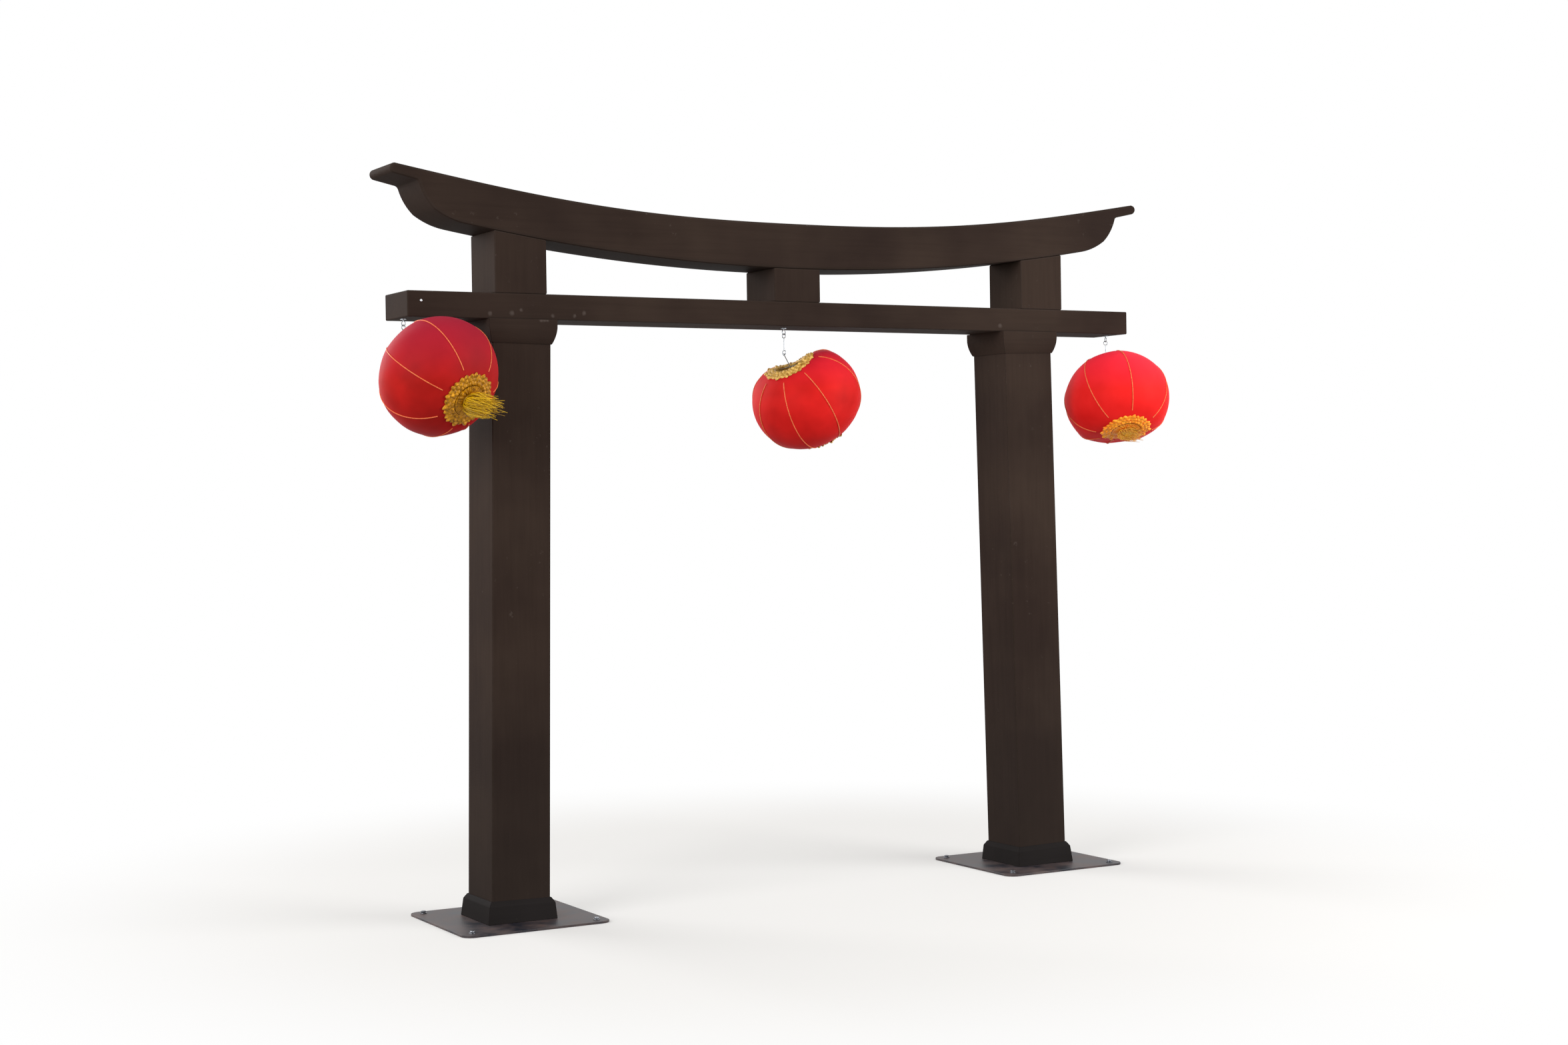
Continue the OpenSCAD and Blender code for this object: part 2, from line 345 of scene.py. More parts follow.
def eased_copy(node: str, name: str, arris: float) -> Object:
    """Copies a CAD solid, merges its triangles into flat faces and rounds its edges.

    Args:
        node: the CAD node.
        name: the new piece's name.
        arris: width of the rounded edge in mm.

    Returns:
        The piece; its rounded edges use the second material slot.
    """
    piece = solid_copy(node, name)
    bpy.ops.mesh.dissolve_limited(angle_limit=radians(FLAT_DEGREES))
    end_edit()
    piece.data.name = name
    piece.data.materials.clear()
    for _ in range(2):
        piece.data.materials.append(None)
    for face in piece.data.polygons:
        face.material_index = 0
    edge = radians(EDGE_DEGREES)
    apply_modifier(
        piece, "BEVEL", width=arris * MM, segments=2, limit_method="ANGLE", angle_limit=edge, material=1
    )
    smooth(piece, 20)
    return piece


def eased_share(share: float) -> float:
    """Holds a share between 0 and 1 and eases both of its ends."""
    share = min(1.0, max(0.0, share))
    return share * share * (3 - 2 * share)


def show(piece: Object, body: str, slot: str, *nodes: str) -> None:
    """Hands a finished piece to the frame.

    Args:
        piece: the piece.
        body: the CAD body it moves with.
        slot: the record's material slot; not used.
        *nodes: the CAD nodes that it stands for.
    """
    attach(piece, body)
    if nodes:
        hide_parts(*nodes)
    LOG.info("%s: %d faces, on %s", piece.name, len(piece.data.polygons), body)


# Finishes


@dataclass(frozen=True)
class Finish:
    """How a surface looks."""

    name: str

    def make(self) -> Material:
        """Builds the finish.

        Returns:
            The material.
        """
        material = bpy.data.materials.new(self.name)
        material.use_nodes = True
        shader = next(n for n in material.node_tree.nodes if n.type == "BSDF_PRINCIPLED")
        add = partial(add_node, material.node_tree)
        self.lay(add, shader, add("TexCoord").outputs)
        return material

    def lay(self, add: Add, shader: Node, coords: Any) -> None:
        """Adds the nodes that drive the shader.

        Args:
            add: adds a node to the material.
            shader: the material's shader.
            coords: the texture coordinates by name.
        """
        raise NotImplementedError


@dataclass(frozen=True)
class SatinPaint(Finish):
    """Satin oil paint brushed on planed softwood: a dark film with brush marks, dull patches and chips."""

    coat: str
    faded: str
    chip: str
    grain: Grain
    wear: float
    scuffs: tuple[tuple[float, float, float, float], ...] = ()

    def lay(self, add: Add, shader: Node, coords: Any) -> None:
        """Lays a film over the grain, then chips, scuffs at their places in mm, and painted shade over the
        last metre above the floor.
        """
        place = coords["Object"]
        stretch = add("Mapping", {"Scale": self.grain.value}, {"Vector": place})
        # Slow changes of the film over about 400 mm
        patch = add("TexNoise", {"Scale": 1 / 0.4, "Detail": 3.0}, {"Vector": place})
        tone = add("MapRange", {"From Min": 0.35, "From Max": 0.68}, {"Value": patch})
        # Grain that shows through the paint, about 18 mm across and 360 mm long
        grain = add("TexNoise", {"Scale": 1 / 0.018, "Detail": 5.0, "Roughness": 0.6}, {"Vector": stretch})
        # Brush marks, drawn 6 mm wide so that they show
        brush = add("TexNoise", {"Scale": 1 / 0.006, "Detail": 2.0}, {"Vector": stretch})
        film = add("Mix", {6: linear(self.coat), 7: linear(self.faded)}, {0: tone}, data_type="RGBA")
        streak = add("MapRange", {"From Min": 0.42, "From Max": 0.7, "To Max": 0.16}, {"Value": grain})
        grained = add(
            "Mix", {7: (0.35, 0.33, 0.33, 1.0)}, {0: streak, 6: film}, data_type="RGBA", blend_type="MULTIPLY"
        )
        # Chips of 10 to 20 mm, in groups
        fleck = add("TexNoise", {"Scale": 1 / 0.03, "Detail": 4.0, "Roughness": 0.65}, {"Vector": place})
        group = add("TexNoise", {"Scale": 1 / 0.5, "Detail": 1.0}, {"Vector": place})
        crowd = add("MapRange", {"From Min": 0.5, "From Max": 0.66, "To Max": self.wear}, {"Value": group})
        bare = add("MapRange", {"From Min": 0.66, "From Max": 0.72}, {"Value": fleck})
        chips = add("Math", links={0: bare, 1: crowd}, operation="MULTIPLY")
        # Scuffs have outlines that wander by 6 mm to each side
        wander = 0.006
        ragged = add(
            "VectorMath",
            {1: (2 * wander, 2 * wander, 2 * wander)},
            {0: fleck.outputs["Color"], 2: place},
            operation="MULTIPLY_ADD",
        )
        for x, y, z, radius in self.scuffs:
            spot = Vector((x, y, z)) * MM + Vector((wander, wander, wander))
            away = add("VectorMath", {1: spot}, {0: ragged}, operation="DISTANCE")
            reach = {"From Min": radius * MM, "From Max": radius * MM * 0.3, "To Max": 0.3}
            scuff = add("MapRange", reach, {"Value": away})
            chips = add("Math", links={0: chips, 1: scuff}, operation="MAXIMUM")
        worn = add("Mix", {7: linear(self.chip)}, {0: chips, 6: grained}, data_type="RGBA")
        # Painted shade: the timber darkens over the last metre above the floor
        height = add("SeparateXYZ", links={0: place}).outputs["Z"]
        low_shade = add("MapRange", {"From Min": 1.0, "From Max": 0.0, "To Max": 0.45}, {"Value": height})
        low_shaded = add("Mix", {7: linear("#262321")}, {0: low_shade, 6: worn}, data_type="RGBA")
        sheen = add("MapRange", {"To Min": 0.52, "To Max": 0.74}, {"Value": patch})
        relief = add("Math", {1: 0.6}, {0: grain, 2: brush}, operation="MULTIPLY_ADD")
        pits = add("Math", {1: -0.8}, {0: chips, 2: relief}, operation="MULTIPLY_ADD")
        bump = add("Bump", {"Strength": 0.35, "Distance": 0.8 * MM}, {"Height": pits})
        set_inputs(
            shader, {"Specular IOR Level": 0.012}, {"Base Color": low_shaded, "Roughness": sheen, "Normal": bump}
        )


@dataclass(frozen=True)
class DustySteel(Finish):
    """Painted sheet steel that lies on the ground: dark grey film, pale dust in drifts that also stands for a
    painted brownish sheen, and a little rust.
    """

    coat: str
    dust: str
    rust: str

    def lay(self, add: Add, shader: Node, coords: Any) -> None:
        """Lays dust with painted sheen, and rust, on the film."""
        place = coords["Object"]
        # Dust and a painted brownish sheen lie in drifts of about 120 mm
        drift = add("TexNoise", {"Scale": 1 / 0.12, "Detail": 6.0, "Roughness": 0.62}, {"Vector": place})
        dust_and_sheen_cover = add("MapRange", {"From Min": 0.36, "From Max": 0.66, "To Max": 0.85}, {"Value": drift})
        dusty_and_sheened = add("Mix", {6: linear(self.coat), 7: linear(self.dust)}, {0: dust_and_sheen_cover}, data_type="RGBA")
        # Rust in patches of about 60 mm
        bloom = add("TexNoise", {"Scale": 1 / 0.06, "Detail": 5.0, "Roughness": 0.7}, {"Vector": place})
        rusty = add("MapRange", {"From Min": 0.58, "From Max": 0.68, "To Max": 0.5}, {"Value": bloom})
        colour = add("Mix", {7: linear(self.rust)}, {0: rusty, 6: dusty_and_sheened}, data_type="RGBA")
        rough = add("MapRange", {"To Min": 0.3, "To Max": 0.65}, {"Value": drift})
        bump = add("Bump", {"Strength": 0.3, "Distance": 0.6 * MM}, {"Height": bloom})
        set_inputs(
            shader, {"Specular IOR Level": 0.3}, {"Base Color": colour, "Roughness": rough, "Normal": bump}
        )


@dataclass(frozen=True)
class ZincPlate(Finish):
    """Bright zinc plating on drawn wire and bolts: a pale metal with a fine crystalline mottle."""

    metal: str
    dull: str

    def lay(self, add: Add, shader: Node, coords: Any) -> None:
        """Lays crystals on the metal."""
        # Crystals of about 4 mm
        mottle = add("TexVoronoi", {"Scale": 1 / 0.004}, {"Vector": coords["Object"]}).outputs
        colour = add(
            "Mix", {6: linear(self.metal), 7: linear(self.dull)}, {0: mottle["Color"]}, data_type="RGBA"
        )
        rough = add("MapRange", {"To Min": 0.28, "To Max": 0.45}, {"Value": mottle["Distance"]})
        set_inputs(shader, {"Metallic": 1.0}, {"Base Color": colour, "Roughness": rough})


@dataclass(frozen=True)
class SatinCloth(Finish):
    """Woven polyester satin stretched over ribs: an even red with a soft sheen along the threads."""

    lit: str
    shaded: str
    sky_reflection: str

    def lay(self, add: Add, shader: Node, coords: Any) -> None:
        """Lays slubs along the cloth's own UV map, which is in metres, with painted shade of slack cloth, and
        paints a pinkish sky reflection on its top.
        """
        place = coords["Object"]
        thread = add("Mapping", {"Scale": (1.0, 18.0, 1.0)}, {"Vector": coords["UV"]})
        # Slubs of about 70 mm along the weft and 4 mm across it
        slub = add("TexNoise", {"Scale": 1 / 0.07, "Detail": 4.0, "Roughness": 0.55}, {"Vector": thread})
        # Painted shade of slack cloth: a deeper red in places, over about 90 mm
        slack = add("TexNoise", {"Scale": 1 / 0.09, "Detail": 2.0}, {"Vector": place})
        both = add("Math", {1: 0.35}, {0: slub, 2: slack}, operation="MULTIPLY_ADD")
        slub_and_slack_shade = add("MapRange", {"From Min": 0.45, "From Max": 0.95}, {"Value": both})
        colour = add("Mix", {6: linear(self.lit), 7: linear(self.shaded)}, {0: slub_and_slack_shade}, data_type="RGBA")
        # Painted pinkish reflection of the sky on the side that faces up, over its top 200 mm
        height = add("SeparateXYZ", links={0: place}).outputs["Z"]
        sky_reflection_mask = add("MapRange", {"From Min": 1.88, "From Max": 2.08}, {"Value": height})
        colour = add("Mix", {7: linear(self.sky_reflection)}, {0: sky_reflection_mask, 6: colour}, data_type="RGBA")
        rough = add("MapRange", {"To Min": 0.55, "To Max": 0.7}, {"Value": slub})
        bump = add("Bump", {"Strength": 0.25, "Distance": 0.5 * MM}, {"Height": both})
        sheen = {"Sheen Weight": 0.06, "Sheen Roughness": 0.4, "Sheen Tint": linear("#ff8fb4")}
        links = {"Base Color": colour, "Roughness": rough, "Normal": bump}
        set_inputs(shader, {"Specular IOR Level": 0.08, **sheen}, links)


@dataclass(frozen=True)
class GiltFoil(Finish):
    """Gilt foil on paper, pressed and crumpled: creases about 11 mm apart, with painted highlights on the
    ridges and painted shade in the ochre hollows.
    """

    bright: str
    shaded_hollow: str
    crease: float = 11.0
    shine: float = 0.1

    def lay(self, add: Add, shader: Node, coords: Any) -> None:
        """Crumples the foil and paints its light and shade: lighter ridges, darker hollows."""
        crumple = add(
            "TexNoise",
            {"Scale": 1 / (self.crease * MM), "Detail": 4.0, "Roughness": 0.6, "Distortion": 0.6},
            {"Vector": coords["Object"]},
        )
        # Painted highlight on the ridges, painted shade in the hollows
        ridge_light = add("MapRange", {"From Min": 0.34, "From Max": 0.66}, {"Value": crumple})
        colour = add("Mix", {6: linear(self.shaded_hollow), 7: linear(self.bright)}, {0: ridge_light}, data_type="RGBA")
        bump = add("Bump", {"Strength": 0.6, "Distance": 2.0 * MM}, {"Height": crumple})
        set_inputs(
            shader,
            {"Metallic": self.shine, "Roughness": 0.42, "Specular IOR Level": 0.25},
            {"Base Color": colour, "Normal": bump},
        )


@dataclass(frozen=True)
class RayonThread(Finish):
    """Loose rayon thread: glossy yellow strands, some painted darker as painted shade in the gaps between
    them.
    """

    lit: str
    shaded: str

    def lay(self, add: Add, shader: Node, coords: Any) -> None:
        """Mixes the twist with each strand's painted shade, which is an attribute."""
        shade = add("Attribute", attribute_name="strand").outputs["Fac"]
        # Twist of about 8 mm
        twist = add("TexNoise", {"Scale": 1 / 0.008, "Detail": 3.0}, {"Vector": coords["Object"]})
        mixed = add("Math", {1: 0.5}, {0: twist, 2: shade}, operation="MULTIPLY_ADD")
        fall = add("MapRange", {"From Min": 0.2, "From Max": 1.2}, {"Value": mixed})
        colour = add("Mix", {6: linear(self.shaded), 7: linear(self.lit)}, {0: fall}, data_type="RGBA")
        bump = add("Bump", {"Strength": 0.3, "Distance": 0.4 * MM}, {"Height": twist})
        set_inputs(shader, {"Roughness": 0.4}, {"Base Color": colour, "Normal": bump})


@dataclass(frozen=True)
class StudioFloor(Finish):
    """A matt pale floor that fades into white away from the gate's middle."""

    middle_x: float
    fade_start: float = 1.6
    fade_end: float = 3.4

    def lay(self, add: Add, shader: Node, coords: Any) -> None:
        """Mixes the paint with a white glow that grows with the distance, where the floor is seen."""
        seen = seen_mask(add)
        pale = add("Mix", {6: linear("#8f8d8a"), 7: linear("#dddcda")}, {0: seen}, data_type="RGBA")
        set_inputs(shader, {"Roughness": 0.9, "Specular IOR Level": 0.1}, {"Base Color": pale})
        away = add("VectorMath", {1: (self.middle_x, 0, 0)}, {0: coords["Object"]}, operation="DISTANCE")
        fade = add(
            "MapRange",
            {"From Min": self.fade_start, "From Max": self.fade_end, "To Min": 0.25},
            {"Value": away},
            interpolation_type="SMOOTHSTEP",
        )
        far = add("Math", links={0: fade, 1: seen}, operation="MULTIPLY")
        glow = add("Emission", {"Strength": 1.0})
        mixed = add("MixShader", links={0: far, 1: shader, 2: glow})
        output = next(n for n in shader.id_data.nodes if n.type == "OUTPUT_MATERIAL")
        set_inputs(output, links={"Surface": mixed})


# Gate


@dataclass
class Timbers:
    """The painted timbers: posts, mouldings, tie beam, struts and top beam."""

    beam_arris: float = 4.0
    kasagi_arris: float = 9.0
    moulding_arris: float = 1.5

    def finishes(self) -> dict[str, Material]:
        """Makes the paints.

        Returns:
            Each paint by the kind of timber that wears it.
        """
        brown = {"coat": "#2d231f", "faded": "#382d27", "chip": "#6c625d"}
        black = {"coat": "#181617", "faded": "#242122", "chip": "#544e4b"}
        rubbed = {"coat": "#2f2621", "faded": "#3a302b", "chip": "#706560"}
        on_beam = (
            *((-79, -110, 2126, 10), (3, -110, 2128, 11), (-63, -110, 2205, 14), (277, -110, 2135, 10)),
            *((157, -110, 2122, 9), (241, -110, 2124, 8), (38, -110, 2140, 8), (2059, -110, 2128, 11)),
        )
        on_capital = ((105, -128, 2106, 10), (116, -128, 2106, 10), (127, -128, 2106, 9))
        rows = (
            ("post", "brown satin paint on posts", brown, Grain.UPRIGHT, 0.25, ()),
            ("beam", "brown satin paint on beams", brown, Grain.LENGTHWISE, 0.3, on_beam),
            ("capital", "brown satin paint on head mouldings", brown, Grain.LENGTHWISE, 0.2, on_capital),
            ("base", "black satin paint on foot mouldings", black, Grain.LENGTHWISE, 0.4, ()),
            ("arris", "worn paint on rounded edges", rubbed, Grain.LENGTHWISE, 0.7, ()),
        )
        return {
            kind: SatinPaint(name, grain=grain, wear=wear, scuffs=scuffs, **colours).make()
            for kind, name, colours, grain, wear, scuffs in rows
        }

    def build(self) -> None:
        """Makes each timber from its CAD solid and paints it."""
        paints = self.finishes()
        kinds = ("post", "nuki", "strut", "kasagi", "capital", "base")
        shared = {"nuki": "beam", "strut": "post", "kasagi": "beam"}
        for node in sorted(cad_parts):
            kind = next((k for k in kinds if k in node.split("_")), None)
            if kind is None:
                continue
            arris = self.moulding_arris if node.endswith("mouldings") else self.beam_arris
            piece = eased_copy(node, f"{node}_painted", self.kasagi_arris if kind == "kasagi" else arris)
            piece.data.materials[0] = paints[shared.get(kind, kind)]
            piece.data.materials[1] = paints["base"] if kind == "base" else paints["arris"]
            show(piece, "gate", "base_paint" if kind == "base" else "painted_timber", node)


@dataclass
class FootPlates:
    """The steel foot plates with the bolts that hold them to the ground. Lengths are in mm."""

    centres: tuple[float, float] = (0.0, 2230.0)
    thickness: float = 8.0
    arris: float = 1.2
    bolt_reach: float = 232.0
    head_across: float = 16.0
    head_height: float = 7.0
    head_arris: float = 1.2
    washer_radius: float = 12.0
    washer_height: float = 2.5
    washer_arris: float = 0.5

    def bolt(self) -> Object:
        """Models one hexagon bolt head on its washer.

        Returns:
            The bolt, standing on the origin.
        """
        washer = stud("washer", 24, self.washer_radius, 0.0, self.washer_height, self.washer_arris)
        side = self.head_across / sqrt(3)
        head = stud("head", 6, side, self.washer_height, self.head_height, self.head_arris)
        return join([washer, head], "bolt")

    def build(self) -> None:
        """Makes both plates and their bolts, each bolt stopped at its own turn."""
        steel = DustySteel("dusty painted sheet steel", coat="#1a1b23", dust="#5a4c49", rust="#4a342c").make()
        zinc = ZincPlate("zinc-plated bolts", metal="#8b8d92", dull="#55575c").make()
        model = self.bolt()
        for name, x in zip(("left", "right"), self.centres):
            plate = eased_copy(f"{name}_foot_plate", f"{name}_plate_sheet", self.arris)
            plate.data.materials[0] = plate.data.materials[1] = steel
            show(plate, "gate", "plate_steel", f"{name}_foot_plate")
            bolts = []
            for i, j in ((-1, -1), (-1, 1), (1, -1), (1, 1)):
                spot = Vector((x + i * self.bolt_reach, j * self.bolt_reach, self.thickness)) * MM
                turn = Matrix.Rotation(0.4 * i + 0.7 * j, 4, "Z")
                bolts.append(copy_of(model, Matrix.Translation(spot) @ turn))
            group = join(bolts, f"{name}_plate_bolts")
            coat(group, zinc, 30)
            show(group, "gate", "wire_steel")
        bpy.data.objects.remove(model)


@dataclass
class BeamScrew:
    """The bright screw in the tie beam's front face, near its left end. Lengths are in mm."""

    place: Point = (-331.0, -110.0, 2164.0)
    radius: float = 4.5
    height: float = 2.4
    dome: float = 1.4
    turn: float = 0.4
    slot_width: float = 1.3
    slot_share: float = 1.3

    def build(self) -> None:
        """Models the domed head, cuts its cross and sets it on the beam."""
        screw = stud("nuki_screw", 24, self.radius, 0.0, self.height, self.dome, segments=3)
        length = self.slot_share * self.radius * MM
        size = Matrix.Diagonal((length, self.slot_width * MM, self.height * MM, 1.0))
        up = Matrix.Translation((0, 0, 1.2 * self.height * MM))
        for turn in (self.turn, self.turn + pi / 2):
            cutter = primitive(bpy.ops.mesh.primitive_cube_add, "cross", size=1.0)
            settle(cutter, up @ Matrix.Rotation(turn, 4, "Z") @ size)
            apply_modifier(screw, "BOOLEAN", object=cutter, operation="DIFFERENCE", solver="EXACT")
            bpy.data.objects.remove(cutter)
        settle(screw, Matrix.Translation(Vector(self.place) * MM) @ Matrix.Rotation(pi / 2, 4, "X"))
        coat(screw, ZincPlate("bright zinc screw", metal="#d6d8da", dull="#b4b7ba").make(), 30)
        show(screw, "gate", "wire_steel")


# Lanterns


@dataclass
class Lantern:
    """One round lantern: cloth on eight ribs, gilt trims round both openings, and a tassel.

    Lengths are in mm and angles in degrees. A dent presses one opening in, along a valley to one side.
    """

    side: Side
    hook_x: float
    tilt: float
    heading: float
    ribs: tuple[float, ...]
    # Cloth, foil and thread colours, each lantern's painted lighter or darker for the light that falls on it:
    # painted light and shade
    reds_as_lit: tuple[str, str, str]
    golds_as_lit: tuple[str, str]
    yellows_as_lit: tuple[str, str]
    blow: Point
    bend: float
    dent: float = 0.0
    dent_mouth: Mouth = Mouth.TOP
    dent_turn: float = 0.0
    dent_reach: float = 140.0
    dent_width: float = 90.0
    dent_run: float = 160.0
    swing_z: float = 2008.0
    bail: float = 205.0
    bail_ring: float = 20.0
    bar_inset: float = 6.0
    bar_wire: float = 3.0
    core: float = 40.0
    bow: float = 170.0
    mouth: float = 60.0
    cloth_thickness: float = 1.0
    rib_hollow: float = 2.0
    pucker_height: float = 0.9
    puckers: int = 36
    braid_radius: float = 1.8
    braid_proud: float = 0.6
    braid_gap: float = 22.0
    trim: float = 38.0
    trim_proud: float = 0.8
    foil: float = 0.8
    collar_depth: float = 22.0
    collar_wall: float = 2.0
    collar_gap: float = 1.3
    knots: int = 30
    knot_rows: int = 3
    knot_height: float = 8.0
    frill_inner: float = 22.0
    frill_foil: float = 0.6
    pleat_height: float = 5.0
    threads: int = 210
    thread_length: float = 98.0
    thread_radius: float = 1.5
    thread_stray: float = 11.0
    tassel_radius: float = 58.0
    tassel_drop: float = 14.0
    tassel_knot: float = 27.0

    @property
    def body(self) -> str:
        """The CAD body that the lantern is."""
        return f"{self.side.value}_lantern"

    @property
    def place(self) -> Matrix:
        """Where the lantern hangs: its own frame has the origin at its centre and +Z to its top."""
        hook = Matrix.Translation(Vector((self.hook_x, 0.0, self.swing_z)) * MM)
        heading = Matrix.Rotation(radians(self.heading), 4, "Z")
        tilt = Matrix.Rotation(-radians(self.tilt), 4, "Y")
        return hook @ (heading @ tilt) @ Matrix.Translation((0.0, 0.0, -self.bail * MM))

    @property
    def mouth_angle(self) -> float:
        """Angle from the lantern's equator to the edge of an opening, in radians."""
        return acos((self.mouth - self.core) / self.bow)

    def on_cloth(self, angle: float, out: float = 0.0) -> tuple[float, float]:
        """Radius and height in mm at an angle from the equator, on the cloth or some mm out from it."""
        return self.core + (self.bow + out) * cos(angle), (self.bow + out) * sin(angle)

    def rib_share(self, turn: float) -> float:
        """How far a direction lies between two ribs: 0 on a rib, 1 midway.

        Args:
            turn: direction round the axis in degrees.

        Returns:
            The share, smoothed so that the cloth is flat between its ribs.
        """
        marks = sorted(r % 360 for r in self.ribs)
        marks = [marks[-1] - 360, *marks, marks[0] + 360]
        for low, high in zip(marks, marks[1:]):
            if low <= turn % 360 <= high:
                share = (turn % 360 - low) / (high - low)
                return sin(pi * share) ** 1.2
        return 0.0

    def sunk(self, point: Vector) -> Vector:
        """Presses a point near an opening into a valley that runs from the opening out to one side.

        Args:
            point: a place in the lantern's own frame, in metres, with the pressed opening at the top.

        Returns:
            The place after the press.
        """
        if point.z <= 0 or not self.dent:
            return point
        along, across, _ = Matrix.Rotation(-radians(self.dent_turn), 3, "Z") @ point / MM
        edge = self.core + self.bow
        rim = eased_share((edge - hypot(along, across)) / (edge - self.dent_reach))
        ahead = eased_share((along + self.mouth) / self.dent_run)
        drop = self.dent * ahead * exp(-((across / self.dent_width) ** 2)) * rim
        return point - Vector((0.0, 0.0, drop * MM))

    def pressed(self, point: Vector) -> Vector:
        """Does the same to a point of the whole lantern, whichever opening is pressed in."""
        flip = Vector((1.0, 1.0, self.dent_mouth.value))
        return self.sunk(point * flip) * flip

    def make_bar(self, node: str) -> Object:
        """Copies the bail or the tassel's bar and moves its lower part with the pressed-in opening.

        Args:
            node: the CAD node.

        Returns:
            The wire; a bail's ring stays on the hanger.
        """
        wire = solid_copy(node, f"{node}_wire")
        end_edit()
        settle(wire, self.place.inverted())
        bar = self.on_cloth(self.mouth_angle)[1] - self.bar_inset
        climb = self.bail - bar - self.bail_ring

        def follow(point: Vector) -> Vector:
            seat = Vector((point.x, point.y, bar * self.dent_mouth.value * MM))
            share = min(1.0, max(0.0, (point.z / MM - bar - self.bar_wire) / climb))
            return point + (self.pressed(seat) - seat) * (1 - share)

        move_points(wire, follow)
        settle(wire, self.place)
        return wire

    def make_cloth(self, satin: Material) -> Object:
        """Spins the cloth, draws it in between the ribs and puckers it at the openings.

        Args:
            satin: its finish.

        Returns:
            The cloth with its thickness and a UV map in metres.
        """
        top = self.mouth_angle
        rows = 44
        section = [self.on_cloth(-top + 2 * top * i / rows) for i in range(rows + 1)]
        cloth = spun(f"{self.body}_cloth", section, 144)

        def draw_in(point: Vector) -> Vector:
            turn = degrees(atan2(point.y, point.x))
            spin = radians(turn)
            radius = hypot(point.x, point.y)
            lift = atan2(point.z, radius - self.core * MM)
            flat = 0.0
            if abs(lift) < 1.5:
                flat = self.rib_hollow * self.rib_share(turn) * cos(lift) ** 0.7
            near = max(0.0, (abs(lift) - 1.0) / 0.45) ** 2
            pucker = self.pucker_height * near * sin(spin * self.puckers + 2.0 * sin(spin * 5))
            slack = 0.5 * sin(spin * 8 + 9 * lift) * cos(lift)
            scale = 1 + (pucker + slack - flat) * MM / max(radius, 1e-6) * 0.9
            return Vector((point.x * scale, point.y * scale, point.z))

        move_points(cloth, draw_in)
        layer = cloth.data.uv_layers.new(name="cloth")
        girth = self.core + self.bow
        for face in cloth.data.polygons:
            points = [cloth.data.vertices[v].co for v in face.vertices]
            turns = [atan2(point.y, point.x) for point in points]
            wraps = max(turns) - min(turns) > pi
            for loop, point, turn in zip(face.loop_indices, points, turns):
                lift = atan2(point.z, hypot(point.x, point.y) - self.core * MM)
                turn += tau if wraps and turn < 0 else 0.0
                layer.data[loop].uv = (turn * girth * MM, lift * self.bow * MM)
        move_points(cloth, self.pressed)
        apply_modifier(cloth, "SOLIDIFY", thickness=self.cloth_thickness * MM, offset=-1.0)
        coat(cloth, satin, 60)
        settle(cloth, self.place)
        return cloth

    def make_ribs(self, gilt: Material) -> Object:
        """Sweeps one gilt braid along the cloth and copies it to every rib.

        Args:
            gilt: the braid's finish.

        Returns:
            All of the braids as one piece.
        """
        span = self.mouth_angle - (self.trim + self.braid_gap) / self.bow
        radius, height = self.on_cloth(-span, self.braid_proud)
        rib = disc("braid", 8, self.braid_radius * MM)
        settle(rib, Matrix.Translation(Vector((radius, 0.0, height)) * MM) @ Matrix.Rotation(span, 4, "Y"))
        start_edit(rib)
        bpy.ops.mesh.spin(steps=40, angle=2 * span, center=(self.core * MM, 0, 0), axis=(0, 1, 0))
        close_edit(0.02)
        braids = [copy_of(rib, Matrix.Rotation(radians(turn), 4, "Z")) for turn in self.ribs]
        bpy.data.objects.remove(rib)
        ribs = join(braids, f"{self.body}_rib_braids")
        move_points(ribs, self.pressed)
        coat(ribs, gilt, 50)
        settle(ribs, self.place)
        return ribs

    def make_trim(self, mouth: Mouth, gilt: Material) -> Object:
        """Spins a collar with a wide flange, raises rows of uneven knots on it and frays its edge.

        Args:
            mouth: which opening it goes round.
            gilt: the foil.

        Returns:
            The trim, from inside the opening out over the cloth.
        """
        edge = self.mouth_angle
        _, lip = self.on_cloth(edge)
        tube = self.mouth - self.collar_gap - self.collar_wall / 2
        rows = 12
        profile = [(tube, lip - drop) for drop in (self.collar_depth, self.collar_depth / 2, 2, -1)]
        profile += [
            self.on_cloth(edge - i / rows * self.trim / self.bow, self.trim_proud) for i in range(rows + 1)
        ]
        trim = spun(f"{self.body}_{mouth.name.lower()}_trim", profile, 200)
        inner, outer = self.mouth, self.on_cloth(edge - self.trim / self.bow)[0]
        phase = random.Random(self.side.value + mouth.name).uniform(0, tau)

        def knotted(point: Vector) -> Vector:
            radius = hypot(point.x, point.y)
            share = (radius / MM - inner) / (outer - inner)
            if share <= 0:
                return point
            turn = atan2(point.y, point.x)
            row = int(min(share, 0.999) * self.knot_rows)
            across = abs(sin(self.knots / 2 * turn + phase + row * 1.9 + 0.5 * sin(5 * turn)))
            along = abs(sin(pi * self.knot_rows * share))
            uneven = 0.7 + 0.3 * sin(13 * turn + 3 * phase + 2 * row)
            lift = 0.6 + self.knot_height * across * along * uneven
            reach = 1 + 0.07 * share**3 * (2 * across * uneven - 1)
            core = self.core * MM
            normal = Vector((point.x - core * point.x / radius, point.y - core * point.y / radius, point.z))
            moved = point + normal.normalized() * lift * MM
            return Vector((moved.x * reach, moved.y * reach, moved.z))

